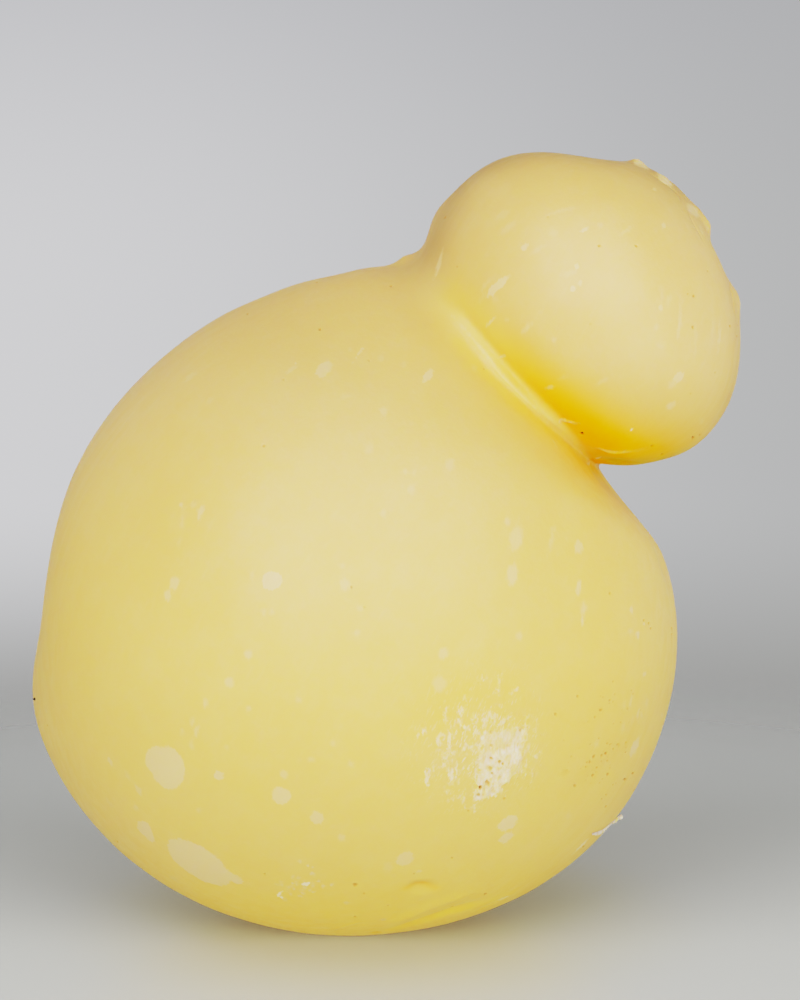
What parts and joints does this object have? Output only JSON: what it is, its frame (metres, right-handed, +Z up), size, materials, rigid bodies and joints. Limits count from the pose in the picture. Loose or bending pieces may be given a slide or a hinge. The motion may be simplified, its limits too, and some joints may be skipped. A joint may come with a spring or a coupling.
{
  "type": "caciocavallo cheese",
  "caption": "Whole gourd-shaped stretched-curd cheese with a round body, a drawn-in neck and a small head hanging over to one side, standing on its flattened base.",
  "frame": {"origin": "bottom centre of the cheese's box, on the surface that it stands on", "axes": "+Z up, +X towards the side that the head hangs over, -Y towards the front"},
  "size_m": [0.1584, 0.1448, 0.1731],
  "materials": {
    "rind": "satin, waxy straw-yellow rind with pale flat spots"
  },
  "bodies": {
    "root": {"cheese": "rind"}
  },
  "joints": []
}
